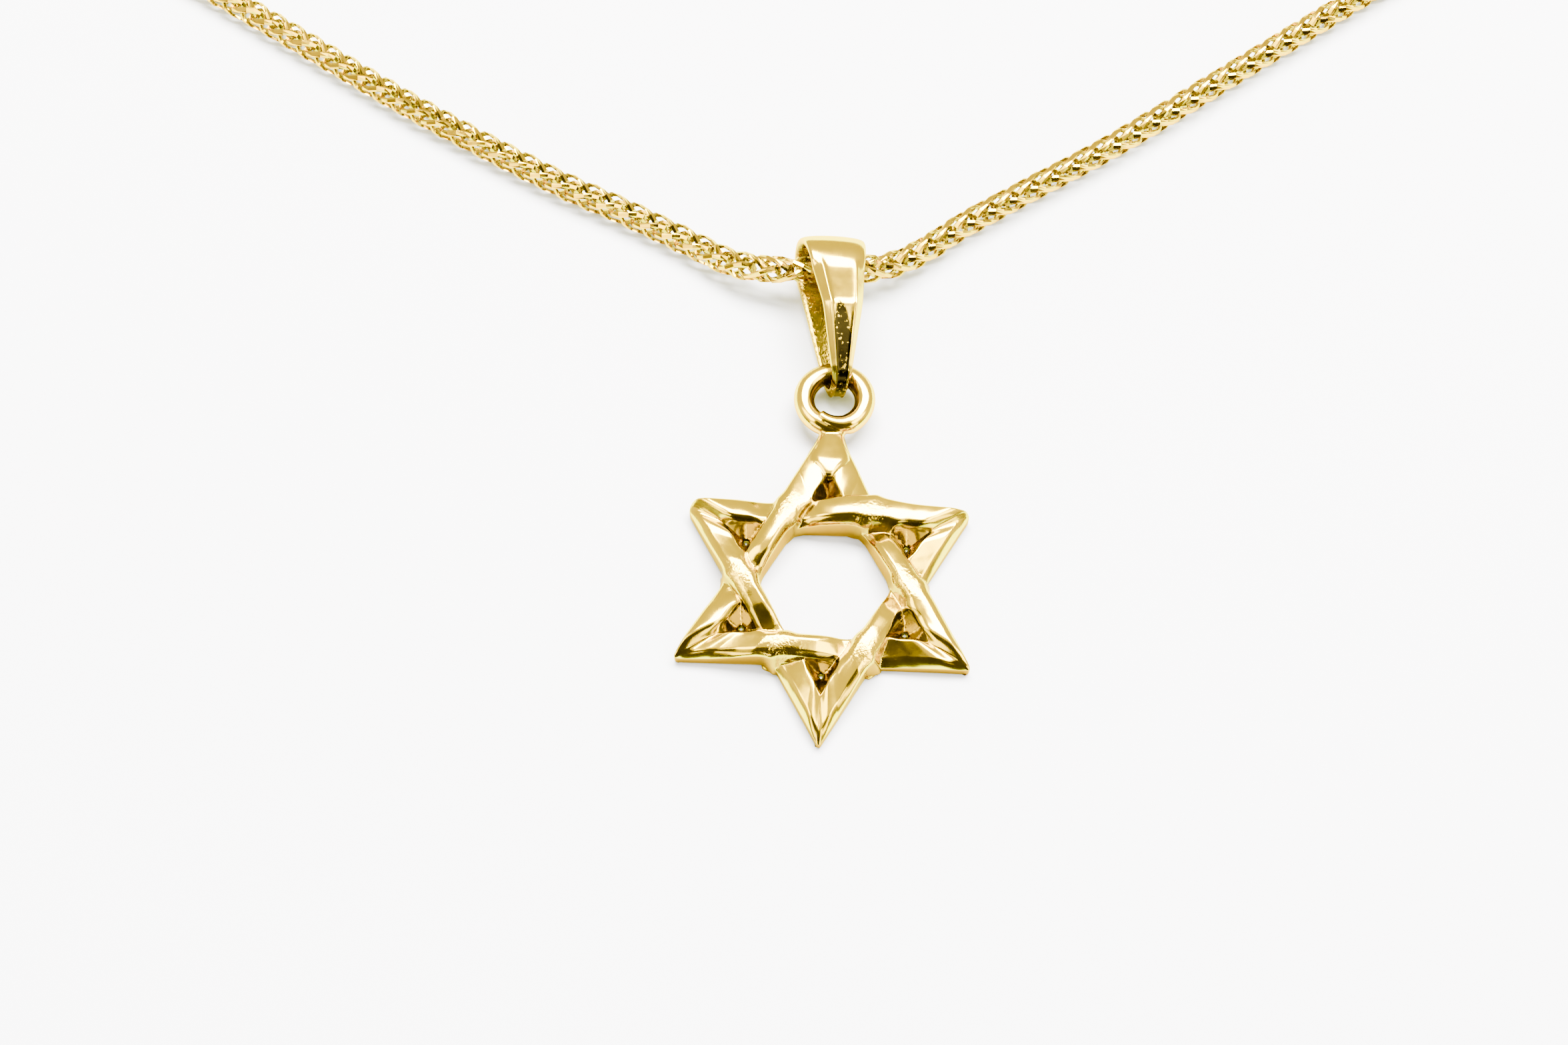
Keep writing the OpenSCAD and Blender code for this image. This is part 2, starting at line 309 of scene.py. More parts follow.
NECK_SQUARE = 0.75
# Above this y the star's metal is the ring
RING_FROM = 9.2
# The ring is one wire: its right end laps inwards over its left end at the solder.
# Each half runs from one angle to another, and has its free end at the third.
RING_HALVES = [("star_ring", -128, 96, -128), ("star_ring_left", 84, 292, 292)]
RING_SAMPLES = 64
RING_POINTS = 32


def places_across(steps=32):
    """Places across a bar's top, from the outer crease to the inner one, closer together at both."""
    n = np.arange(steps + 1)
    eased = 0.5 - 0.5 * np.cos(math.pi * n / steps)
    middle = 0.02 + 0.96 * eased * 0.55 + 0.96 * 0.45 * n / steps
    return np.concatenate([[0.004, 0.012], middle, [0.988, 0.996]])


def top_low(v):
    """A top that falls outwards to a low crease: height as a share of the crest."""
    fall = 0.26 * unit(1 - v / 0.3) ** 1.6
    return 0.70 + 0.24 * v - fall - 0.09 * unit((v - 0.88) / 0.12) ** 2


def top_high(v):
    """A top with a high outer crease that falls inwards."""
    fall = 0.10 * unit((0.55 - v) / 0.55) ** 1.6 + 0.06 * unit(1 - v / 0.08) ** 1.5
    return 1 - fall - 0.26 * unit((v - 0.68) / 0.32) ** 1.8


def top_point(v):
    """The top point's bars rise all the way to the window between them."""
    rise = 0.86 + 0.14 * (1 - (1 - v) ** 2)
    return rise - 0.05 * unit(1 - v / 0.08) ** 1.5 - 0.04 * unit((v - 0.94) / 0.06) ** 2


ACROSS = places_across()
TOP_LOW, TOP_HIGH, TOP_POINT = top_low(ACROSS), top_high(ACROSS), top_point(ACROSS)


def corner(angle, r):
    """The point at a direction and a distance from the star's centre."""
    return r * np.array([math.cos(math.radians(angle)), math.sin(math.radians(angle))])


def crest_curve(t):
    """The crest's height along a side."""
    rows = np.array(SIDE)
    height = rows[:, 1] * OVER_H + rows[:, 2] * UNDER_H + (1 - rows[:, 1] - rows[:, 2]) * TIP_H
    return spread(np.interp(t, rows[:, 0], height), SIDE_SAMPLES * 0.018, 12)


def hump(t, centre, width):
    """1 at one place along a side and 0 away from it, over a width in millimetres."""
    return np.exp(-((t - centre) * STAR_SIDE / width) ** 2)


def side_lines(bar, t):
    """A side's outer line with its blunt tips, its inner line, and the direction into the star."""
    turn, side = bar
    a0, a1 = 90 + 120 * side + turn, 90 + 120 * (side + 1) + turn
    o0, o1, i0, i1 = corner(a0, REACH), corner(a1, REACH), corner(a0, CORE), corner(a1, CORE)
    outer = o0 + (o1 - o0) * t[:, None]
    inner = i0 + (i1 - i0) * t[:, None]
    for at, angle, sign in ((0, a0, 1), (1, a1, -1)):
        r = TIP_ROUND[int(round(angle)) % 360]
        span = r * math.sqrt(3)
        s = np.abs(t - at) * STAR_SIDE
        near = s < span
        d = corner(angle, 1)
        perp = np.array([-d[1], d[0]])
        phi = sign * math.radians(60) * s[near] / span
        outer[near] = d * (REACH - 2 * r) + r * (np.cos(phi)[:, None] * d + np.sin(phi)[:, None] * perp)
    along = (o1 - o0) / np.linalg.norm(o1 - o0)
    into = np.array([-along[1], along[0]])
    if into @ outer[len(t) // 2] > 0:
        into = -into
    return outer, inner, into


def solder_fill(bar, t, from_point, at_window):
    """How far solder fills the corners where the two triangles' walls meet, outside and inside."""
    fill_out = 0.12 * (hump(t, 1 / 3, 0.4) + hump(t, 2 / 3, 0.4))
    if bar == TOP_BAR:
        fill_out += 0.4 * hump(t, 0.39, 2.2)
    if bar in POINT_BARS:
        fill_out += 0.3 * unit(1 - from_point / 7.5) * unit(from_point / 1.2)
    half = STAR_SIDE / 2 - INNER_SIDE / 2
    place = (t * INNER_SIDE + half) / STAR_SIDE
    edge = 1 / 3 + CROSSING_SHARE
    fill_in = 0.16 * (hump(place, edge, 0.4) + hump(place, 1 - edge, 0.4))
    near, far = 1 / 3 - CROSSING_SHARE, 2 / 3 + CROSSING_SHARE
    fill_in += 0.12 * (hump(place, near, 0.35) + hump(place, far, 0.35))
    return fill_out, fill_in + 0.08 * at_window


def triangle_band(turn, name):
    """One closed triangle of three bars, as a loft of sections along its outline."""
    rows = np.array(SIDE)
    t = np.arange(SIDE_SAMPLES) / SIDE_SAMPLES
    crest = crest_curve(t)
    over = np.interp(t, rows[:, 0], rows[:, 1])
    # 1 along the small windows at a side's two ends, 0 along the star's hollow middle
    at_window = unit((np.abs(t - 0.5) - 0.16) / 0.04)
    edge_high = spread(np.repeat([HIGH_EDGE[turn, side] for side in range(3)], SIDE_SAMPLES), 5, 15)
    rings = []
    for side in range(3):
        bar = (turn, side)
        share_off = t if side == 0 else 1 - t
        from_point = STAR_SIDE * share_off
        outer, inner, into = side_lines(bar, t)
        fill_out, fill_in = solder_fill(bar, t, from_point, at_window)
        outer = outer - into * fill_out[:, None]
        inner = inner + into * fill_in[:, None]
        for n in range(SIDE_SAMPLES):
            c = crest[n]
            if bar in POINT_BARS:
                c += TOP_RISE * max(0.0, 1 - share_off[n] / TOP_REACH) ** 0.8
            if bar == TOP_BAR:
                c += SWELL * math.exp(-((t[n] - SWELL_AT) * STAR_SIDE / SWELL_WIDTH) ** 2)
            share = edge_high[side * SIDE_SAMPLES + n]
            share = max(share, share + (0.75 - share) * over[n])
            # the bars with a low outer crease are a little lower altogether
            c *= 1 - 0.13 * (1 - share)
            z_top = c * ((1 - share) * TOP_LOW + share * TOP_HIGH)
            if bar in POINT_BARS:
                near_point = unit(1 - (from_point[n] - 3.2) / 2.6)
                z_top += near_point * (c * TOP_POINT - z_top)
            # the cast walls lean out towards their feet, most of all inside the small windows
            lean_out = LEAN_OUT[0] + (LEAN_OUT[1] - LEAN_OUT[0]) * (1 - at_window[n])
            lean_in = LEAN_IN[0] + (LEAN_IN[1] - LEAN_IN[0]) * at_window[n]
            away = WALL[:, 1] - lean_out * (1 - WALL[:, 0])
            inside = WALL[:, 1] - lean_in * (1 - WALL[:, 0])
            xy = np.vstack([
                outer[n] + into * away[:, None],
                outer[n] + (inner[n] - outer[n]) * ACROSS[:, None],
                (inner[n] - into * inside[:, None])[::-1],
            ])
            z = np.concatenate([WALL[:, 0] * z_top[0], z_top, WALL[::-1, 0] * z_top[-1]])
            rings.append(np.column_stack([xy, z]))
    rings = np.array(rings)
    flat = rings.reshape(-1, 3)
    high = unit((flat[:, 2] - 0.3) / 0.8)
    flat[:, 2] += high * (UNEVEN * wave(flat, 3.4, 3 + turn) + FINE_UNEVEN * wave(flat, 0.9, 5 + turn))
    flat[:, 0] += high * UNEVEN * wave(flat, 3.1, 7 + turn)
    flat[:, 1] += high * UNEVEN * wave(flat, 3.3, 9 + turn)
    return outward(new_object(name, flat, loop_faces(len(rings), rings.shape[1])))


def ring_half(name, start, end, tip_at):
    """A part of the top ring's wire from one angle to another, with a rounded tip at tip_at.
    Its inner end is thinner and raised towards -122 degrees, and its outer end thinner towards 283."""
    stations = []
    for ang in np.linspace(start, end, RING_SAMPLES):
        inner_end = unit((-62 - ang) / 60)
        outer_end = unit((ang - 238) / 45)
        rad = RING_R - 0.3 * inner_end + 0.16 * outer_end
        lift = RING_LIFT + 0.3 * inner_end - 0.12 * outer_end
        size = RING_WIRE / 2 * (1 - 0.38 * inner_end ** 0.7 - 0.3 * outer_end)
        size *= 1 + 0.03 * math.sin(math.radians(3 * ang))
        size *= math.sqrt(min(1.0, abs(ang - tip_at) / 9 + 0.25))
        out = np.array([*corner(ang, 1), 0])
        stations.append((np.array([RING_X, RING_Y, lift]) + rad * out, size * out, (0, 0, size)))
    return blob_run(name, stations, RING_POINTS)


def make_star():
    first = triangle_band(0, "star_body")
    second = triangle_band(180, "star_second")
    stations = [
        (np.array([x, y, (top + low) / 2]), (wide, 0, 0), (0, 0, (top - low) / 2))
        for y, x, wide, low, top in NECK
    ]
    neck = blob_run("star_neck", stations, NECK_POINTS, NECK_SQUARE)
    return fuse(first, [second, neck] + [ring_half(*half) for half in RING_HALVES])


def crossing_mask(p):
    """1 along the lines where one bar lies over another, 0 away from them."""
    mask = np.zeros(len(p))
    for k in range(6):
        x, y = corner(60 * k + 60, CROSSING_R)
        mask = np.maximum(mask, unit(1 - np.hypot(p[:, 0] - x, p[:, 1] - y) / 1.5))
    return mask


def window_mask(p):
    """1 over the small windows, 0 away from them."""
    mask = np.zeros(len(p))
    for k in range(6):
        x, y = corner(30 + 60 * k, WINDOW_R)
        mask = np.maximum(mask, unit((1.5 - np.hypot(p[:, 0] - x, p[:, 1] - y)) / 0.4))
    return mask


def shade_star(obj):
    """Marks the grooves, the steep walls and low faces near the table, which get painted shade standing in
    for the shadowed table they mirror, and the hollows that little light reaches, which are the small
    windows, the ring's inside and the grooves (well), and get painted shade too. All are 0 on the polished
    tops."""
    p = points_of(obj)
    up = facing_up(obj)
    crossing = crossing_mask(p)
    window = window_mask(p)
    wall = unit((0.5 - up) / 0.3) * (p[:, 1] < RING_FROM)
    low = unit((1.1 - p[:, 2]) / 0.5) * (up < 0.5)
    from_ring = np.hypot(p[:, 0] - RING_X, p[:, 1] - RING_Y)
    inside = unit((RING_R - 0.2 - from_ring) / 0.25) * (p[:, 1] > RING_FROM)
    pit = window * unit((0.84 - up) / 0.15)
    groove = crossing * unit((1.85 - p[:, 2]) / 0.3)
    set_attribute(obj, "groove", crossing)
    # painted shade: steep walls and low faces near the table, away from the windows
    set_attribute(obj, "wall_shade", 0.92 * np.maximum(low, wall) * (1 - window))
    # painted shade in the small windows, the ring's inside and the grooves
    set_attribute(obj, "well", np.maximum(np.maximum(0.84 * pit, 0.5 * inside), 0.6 * groove))


# Bail

# The strap's face from its left edge to its middle: place across (-1 to 0), and height as a share
# of the strap's thickness. Two rims stand at its edges, with a sunk panel between them.
STRAP_FACE = [
    (-1.0, 0.16), (-0.995, 0.3), (-0.965, 0.42), (-0.9, 0.55), (-0.78, 0.76), (-0.7, 0.9),
    (-0.665, 0.97), (-0.63, 1.0), (-0.595, 0.98), (-0.56, 0.93), (-0.51, 0.885), (-0.45, 0.87),
    (-0.38, 0.865), (-0.3, 0.865), (-0.2, 0.865), (-0.1, 0.865), (0, 0.865),
]
STRAP_BACK = [(0.965, 0.03), (0.8, 0.0), (0.4, 0.02), (0, 0.03), (-0.4, 0.02), (-0.8, 0.0), (-0.965, 0.03)]
# How far the front strap bows outwards, by the place along it from the lower bend (0) to the upper (1)
BOW = np.array([
    (-0.1, 0), (0, 0.04), (0.1, 0.25), (0.25, 0.56), (0.4, 0.87), (0.48, 0.99), (0.52, 0.99),
    (0.6, 0.85), (0.7, 0.67), (0.8, 0.49), (0.88, 0.355), (1.0, 0.19), (1.12, 0.07), (1.25, 0),
])
# Where the painted dark reflection on the front strap's panel starts, up from the lower bend
DARK_REFLECTION_TOP = 3.5
TOP_BEND_STEPS = 48
LOW_BEND_STEPS = 28
STRAP_STEPS = 40
BAIL_TURN = rotation("Z", BAIL_LEAN) @ rotation("X", BAIL_PITCH) @ rotation("Y", BAIL_ROLL)


def strap_profile():
    """The strap's section, over the face and back along the inside."""
    return np.array(STRAP_FACE + [(-x, y) for x, y in reversed(STRAP_FACE[:-1])] + STRAP_BACK)


def strap_stations():
    """Rows of y, z and the outward direction's angle along the strap: over the top bend, down the front,
    round the lower bend and up the back."""
    turn = 90 + math.degrees(FLANK)

    def bend(centre, r, angle):
        a = math.radians(angle)
        return np.array([centre + r * math.cos(a), r * math.sin(a), angle])

    def straight(start, end):
        return [start + (end - start) * i / STRAP_STEPS for i in range(1, STRAP_STEPS)]

    def curved(centre, r, start, sweep, steps):
        return [bend(centre, r, start + sweep * i / steps) for i in range(steps + 1)]

    return (
        curved(BEND_GAP, BEND_TOP, -turn, 2 * turn, TOP_BEND_STEPS)
        + straight(bend(BEND_GAP, BEND_TOP, turn), bend(0, BEND_LOW, turn))
        + curved(0, BEND_LOW, turn, 360 - 2 * turn, LOW_BEND_STEPS)
        + straight(bend(0, BEND_LOW, -turn), bend(BEND_GAP, BEND_TOP, -turn))
    )


def painted_dark_mask(stations, profile):
    """The painted dark reflection on the front strap's panel, a stripe which narrows to a point about
    halfway up, and painted shade on the underside of the lower bend."""
    across = np.tile(profile[:, 0], len(stations))
    down = np.repeat([DARK_REFLECTION_TOP - y for y, z, angle in stations], len(profile))
    front = np.repeat([float(z > 0 or y < -0.3) for y, z, angle in stations], len(profile))
    under = np.repeat(
        [float(abs(math.remainder(angle, 360)) > 100 and y < 0) for y, z, angle in stations], len(profile))
    left = -0.26 - 0.32 * unit(down / 1.2) ** 0.5
    right = -0.2 + 0.78 * unit(down / 2.4) ** 0.5
    painted_dark = unit((across - left) / 0.07 + 0.5) * unit((right - across) / 0.07 + 0.5) * (down > 0)
    painted_dark *= front * np.tile(profile[:, 1] > 0.5, len(stations))
    return np.maximum(painted_dark, 0.9 * under)


def make_bail():
    stations = strap_stations()
    profile = strap_profile()
    on_inside = profile[:, 1] < 0.1
    # over the top bend the strap is plainly rounded
    rounded = 0.42 + 0.58 * np.sqrt(unit(1 - profile[:, 0] ** 2)) ** 0.7
    plain = np.where(profile[:, 1] > 0.1, rounded, profile[:, 1])
    rings = []
    for y, z, angle in stations:
        panel = unit((0.97 * BEND_GAP - y) / 0.7)
        panel = panel * panel * (3 - 2 * panel)
        height = plain + (profile[:, 1] - plain) * panel
        share = (y + BEND_LOW) / (BEND_LOW + BEND_GAP + BEND_TOP)
        half = (BAIL_END_W + (BAIL_TOP_W - BAIL_END_W) * share) / 2
        thick = BAIL_END_T + (BAIL_TOP_T - BAIL_END_T) * share
        a = math.radians(angle)
        rings.append(np.column_stack([
            profile[:, 0] * half,
            y + thick * height * math.cos(a),
            z + thick * height * math.sin(a),
        ]))
    local = np.concatenate(rings)
    # the front strap bows outwards, most of all in its middle
    bow = np.interp(local[:, 1] / BEND_GAP, BOW[:, 0], BOW[:, 1])
    local[:, 2] += bow * unit((local[:, 2] - 0.3) / 0.6)
    local[:, 2] += 0.006 * wave(local, 2.4, 31)
    verts = local @ BAIL_TURN.T + BAIL_AT
    obj = outward(new_object("bail_strap", verts, loop_faces(len(rings), len(profile))))
    inside = np.tile(on_inside, len(rings)).astype(float)
    set_attribute(obj, "inside", inside)
    # painted shade on the strap's inside, which faces the ring
    set_attribute(obj, "well", 0.7 * inside)
    # painted dark reflection on the panel and painted shade under the lower bend
    set_attribute(obj, "painted_dark", painted_dark_mask(stations, profile))
    return obj


# Chain and clasp

LINK_PITCH = 1.62
LINK_LEN = 2.85
LINK_WIDE = 2.0
LINK_WIRE = 0.3
LINK_RIBBON = 0.38
LINK_TWIST = 43.0
LINK_SEGMENTS = 16
LINK_SIDES = 6
# Where the cut flats lie, from the chain's centre line
CUT = 0.86
CUT_UNEVEN = 0.03
# The two families' angle about the chain, how far it swings along the chain, and how uneven it is
FAMILY_TURN = 45
SWING = 4
TURN_UNEVEN = 7
# The plain oval link at each end
END_LINK = {"length": 3.3, "wide": 1.5, "wire": 0.36, "ribbon": 0.36}
# How far the chain turns about itself inside the bail, and over what half length
BAIL_TWIST = 115
TWIST_REACH = 3.0
# The clasp's thumb knob: distance outwards from the body's wire, and half width
KNOB = [(0, 0.3), (0.5, 0.3), (0.75, 0.27), (0.9, 0.36), (1.15, 0.38), (1.2, 0.3)]


def chain_path():
    """The chain's centre line, and where the clasp and the end rings lie between its ends."""
    lean, pitch, seat_turn = (math.radians(a) for a in (BAIL_LEAN, BAIL_PITCH, SEAT_TURN))
    bend_at = BAIL_AT + BEND_GAP * np.array([
        -math.cos(pitch) * math.sin(lean),
        math.cos(pitch) * math.cos(lean),
        math.sin(pitch),
    ])
    room = BEND_TOP - CHAIN_D / 2 - 0.08
    seat = bend_at + room * np.array([0, math.cos(seat_turn), -math.sin(seat_turn)])
    lie = CHAIN_D / 2 + GAP / 2
    end_r = (END_RING_D - END_RING_WIRE) / 2
    end_lift = END_RING_D / 2
    clasp_r = (CLASP_D - CLASP_WIRE) / 2
    clasp_lift = END_RING_WIRE + CLASP_WIRE / 2 + GAP
    left_x = 2 * GAP + END_RING_D / 2
    eye_x = left_x + math.sqrt(end_r ** 2 - (end_lift - clasp_lift) ** 2)
    body_x = eye_x + (EYE_D - EYE_WIRE) / 2 + CLASP_WIRE / 5 + clasp_r
    right_x = body_x + clasp_r + 2 * GAP
    clasp = {
        "at": np.array([seat[0] + ROUTE[0][0], seat[1] + ROUTE[0][1], 0]),
        "left": left_x, "right": right_x, "eye": eye_x, "body": body_x,
        "end_r": end_r, "end_lift": end_lift, "clasp_r": clasp_r, "lift": clasp_lift,
    }
    rows = ROUTE + [(ROUTE[0][0] + right_x + left_x, ROUTE[0][1], 0)]
    pts = np.array([[seat[0] + x, seat[1] + y, lie + (seat[2] - lie) * up] for x, y, up in rows])
    ext = np.vstack([2 * pts[0] - pts[1], pts, 2 * pts[-1] - pts[-2]])
    fine = []
    for i in range(len(pts) - 1):
        fine += [catmull(*ext[i:i + 4], t) for t in np.arange(0, 1, 1 / CURVE_STEPS)]
    fine.append(pts[-1])
    return np.array(fine), clasp


def base_link(twist, length=LINK_LEN, wide=LINK_WIDE, wire=LINK_WIRE, ribbon=LINK_RIBBON):
    """A twisted oval wire loop along X, as (segments, sides, 3)."""
    u = 2 * math.pi * (np.arange(LINK_SEGMENTS) + 0.5) / LINK_SEGMENTS
    a, b = (length - wire) / 2, (wide - wire) / 2
    x = a * np.sign(np.cos(u)) * np.abs(np.cos(u)) ** 0.9
    y = b * np.sin(u)
    ang = np.radians(twist) * x / a
    line = np.column_stack([x, y * np.cos(ang), y * np.sin(ang)])
    tangent = np.roll(line, -1, axis=0) - np.roll(line, 1, axis=0)
    tangent /= np.linalg.norm(tangent, axis=1)[:, None]
    away = line * np.array([0.55, 1, 1])
    away /= np.linalg.norm(away, axis=1)[:, None]
    n1 = away - (away * tangent).sum(1)[:, None] * tangent
    n1 /= np.linalg.norm(n1, axis=1)[:, None]
    n2 = np.cross(tangent, n1)
    v = 2 * math.pi * np.arange(LINK_SIDES) / LINK_SIDES + math.pi / 6
    # the wire is pressed wider at the link's two ends, which fill the chain's middle
    broad = (ribbon + 0.24 * (np.abs(np.cos(u)) ** 4) * (twist != 0))[:, None, None]
    across = broad / 2 * np.sin(v)[None, :, None] * n2[:, None, :]
    return line[:, None, :] + wire / 2 * np.cos(v)[None, :, None] * n1[:, None, :] + across


def across_chain(t):
    """The level and the upward direction across the chain, where it runs along t."""
    side = np.cross([0, 0, 1], t)
    side /= np.linalg.norm(side)
    return side, np.cross(t, side)


def make_chain(path):
    """Interlocking twisted links of two families along the chain's centre line."""
    step = np.linalg.norm(np.diff(path, axis=0), axis=1)
    run = np.concatenate([[0], np.cumsum(step)])
    count = int(round(run[-1] / LINK_PITCH * 2))
    spacing = run[-1] / count
    tangent = np.gradient(path, axis=0)
    tangent /= np.linalg.norm(tangent, axis=1)[:, None]
    seat_run = run[np.argmax(path[:, 2])]
    families = [base_link(LINK_TWIST), base_link(-LINK_TWIST)]
    verts, wells = [], []
    for i in range(count):
        s = (i + 0.5) * spacing
        c = np.array([np.interp(s, run, path[:, k]) for k in range(3)])
        t = np.array([np.interp(s, run, tangent[:, k]) for k in range(3)])
        t /= np.linalg.norm(t)
        side, up = across_chain(t)
        family = i % 2
        turned = 0.5 + 0.5 * math.tanh((s - seat_run) / TWIST_REACH)
        lean = (FAMILY_TURN if family == 0 else -FAMILY_TURN) + BAIL_TWIST * turned
        roll = math.radians(lean + SWING * math.sin(s * 0.13) + TURN_UNEVEN * (hashed(i) - 0.5))
        link = families[family].copy()
        # each strand is cut flat, which leaves long bright facets on its links
        depth = CUT + CUT_UNEVEN * (hashed(i + 500) - 0.5)
        link[..., 1] = np.clip(link[..., 1], -depth, depth)
        y = link[..., 1] * math.cos(roll) - link[..., 2] * math.sin(roll)
        z = link[..., 1] * math.sin(roll) + link[..., 2] * math.cos(roll)
        verts.append((c + link[..., :1] * t + y[..., None] * side + z[..., None] * up).reshape(-1, 3))
        # painted shade: each wire turns darker towards the chain's middle, where little light gets in
        wells.append(0.5 * np.clip((CUT - np.hypot(y, z).ravel()) / 0.24, 0, 0.92))
    # a plain oval link at each end holds the end ring
    link = base_link(0, **END_LINK)
    for end, way in ((0, -1), (-1, 1)):
        t = tangent[end] * way
        c = path[end] - 0.25 * t
        side, up = across_chain(t)
        verts.append((c + link[..., :1] * t + link[..., 1:2] * side + link[..., 2:3] * up).reshape(-1, 3))
        wells.append(np.zeros(LINK_SEGMENTS * LINK_SIDES))
    faces = loop_faces(LINK_SEGMENTS, LINK_SIDES)
    faces = np.concatenate([faces + n * LINK_SEGMENTS * LINK_SIDES for n in range(len(verts))])
    obj = outward(new_object("chain_links", np.concatenate(verts), faces, smooth=False))
    set_attribute(obj, "well", np.concatenate(wells))
    return obj


def make_clasp(c):
    """The two end rings, which stand upright, and the spring ring clasp, which lies flat."""
    upright = rotation("X", 90)
    rings = []
    for name, x in (("end_ring_left_wire", c["left"]), ("end_ring_right_wire", c["right"])):
        ring_at = c["at"] + np.array([x, 0, c["end_lift"]])
        rings.append(torus(name, ring_at, c["end_r"], END_RING_WIRE, rings=72, points=18, turn=upright))
    base = c["at"] + np.array([c["body"], 0, c["lift"]])
    body = torus("clasp_body", base, c["clasp_r"], CLASP_WIRE, rings=96, points=28)
    eye_at = c["at"] + np.array([c["eye"], 0, c["lift"]])
    eye = torus("clasp_eye", eye_at, (EYE_D - EYE_WIRE) / 2, EYE_WIRE, rings=64, points=18)
    outwards = rotation("Z", KNOB_TURN) @ np.array([1.0, 0, 0])
    side = np.array([-outwards[1], outwards[0], 0])
    stations = [(base + outwards * (c["clasp_r"] + r), side * w, (0, 0, w)) for r, w in KNOB]
    return rings, fuse(body, [eye, blob_run("clasp_knob", stations, points=20)])


# Materials

# The metal keeps its colour at glancing angles
EDGE_TINT = (1.0, 0.8, 0.05, 1)
# Painted shade on steep walls and low faces near the table, standing in for the shadowed table they mirror
PAINTED_WALL_SHADE = (0.24, 0.13, 0.0004, 1)
# Painted shade: a darker, deeper gold on faces that look sideways or down, where they mirror the white
# table
PAINTED_SIDE_SHADE = (0.8, 0.46, 0.002, 1)
# Hollows that only light from the gold round them reaches
WELL = (0.19, 0.178, 0.0003, 1)
# Painted dark reflection in the lower half of the bail's sunk panel, and painted shade under its lower bend
PAINTED_DARK = (0.012, 0.012, 0.002, 1)
FLOOR_WHITE = (0.6, 0.857, 0.882, 1)
FLOOR_ROUGH = 0.75
# How fine each noise is, per metre, and its detail
CLOUDS = (420, 3)
GRAIN = (1500, 4)
FLECKS = (3600, 2)
PITS = (5200, 3)
# Between these strengths of its noise a fleck shows, and what share of the painted dark reflection is left
# in it
FLECK_EDGE = (0.6, 0.66)
FLECK_PAINTED_DARK = 0.35
ROUGHNESS = (0.078, 0.195)
# Base colours of the polished gold, and their darker patches
STAR_COLOURS = ((0.77, 0.69, 0.004, 1), (0.73, 0.64, 0.002, 1))
BAIL_COLOURS = ((0.77, 0.69, 0.015, 1), (0.73, 0.64, 0.008, 1))
CHAIN_COLOURS = ((0.64, 0.55, 0.002, 1), (0.6, 0.5, 0.001, 1))


def material(name):
    mat = bpy.data.materials.new(name)
    mat.use_nodes = True
    return mat, mat.node_tree, mat.node_tree.nodes["Principled BSDF"]


def feed(tree, socket, value):
    """Links another node's output to a socket, or sets the socket's constant."""
    if isinstance(value, bpy.types.NodeSocket):
        tree.links.new(value, socket)
    else:
        socket.default_value = value


def noise(tree, coords, scale, detail):
    """A noise's strength at each place, from 0 to 1."""
    node = tree.nodes.new("ShaderNodeTexNoise")
    node.inputs["Scale"].default_value = scale
    node.inputs["Detail"].default_value = detail
    tree.links.new(coords, node.inputs["Vector"])
    return node.outputs["Fac"]


def attribute(tree, name):
    """An attribute's value on the mesh, 0 where the mesh lacks it."""
    node = tree.nodes.new("ShaderNodeAttribute")
    node.attribute_name = name
    return node.outputs["Fac"]


def mix(tree, factor, first, second):
    """A colour between two, which are constants or other nodes' outputs."""
    node = tree.nodes.new("ShaderNodeMix")
    node.data_type = "RGBA"
    feed(tree, node.inputs["Factor"], factor)
    feed(tree, node.inputs["A"], first)
    feed(tree, node.inputs["B"], second)
    return node.outputs["Result"]


def map_range(tree, value, start, end, low=0.0, high=1.0, smooth=False):
    node = tree.nodes.new("ShaderNodeMapRange")
    if smooth:
        node.interpolation_type = "SMOOTHSTEP"
    node.inputs["From Min"].default_value = start
    node.inputs["From Max"].default_value = end
    node.inputs["To Min"].default_value = low
    node.inputs["To Max"].default_value = high
    tree.links.new(value, node.inputs["Value"])
    return node.outputs["Result"]


def calculate(tree, operation, *values):
    node = tree.nodes.new("ShaderNodeMath")
    node.operation = operation
    for socket, value in zip(node.inputs, values):
        tree.links.new(value, socket)
    return node.outputs["Value"]


def bump(tree, height, distance, normal=None):
    node = tree.nodes.new("ShaderNodeBump")
    node.inputs["Strength"].default_value = 1.0
    node.inputs["Distance"].default_value = distance * MM
    tree.links.new(height, node.inputs["Height"])
    if normal:
        tree.links.new(normal, node.inputs["Normal"])
    return node.outputs["Normal"]


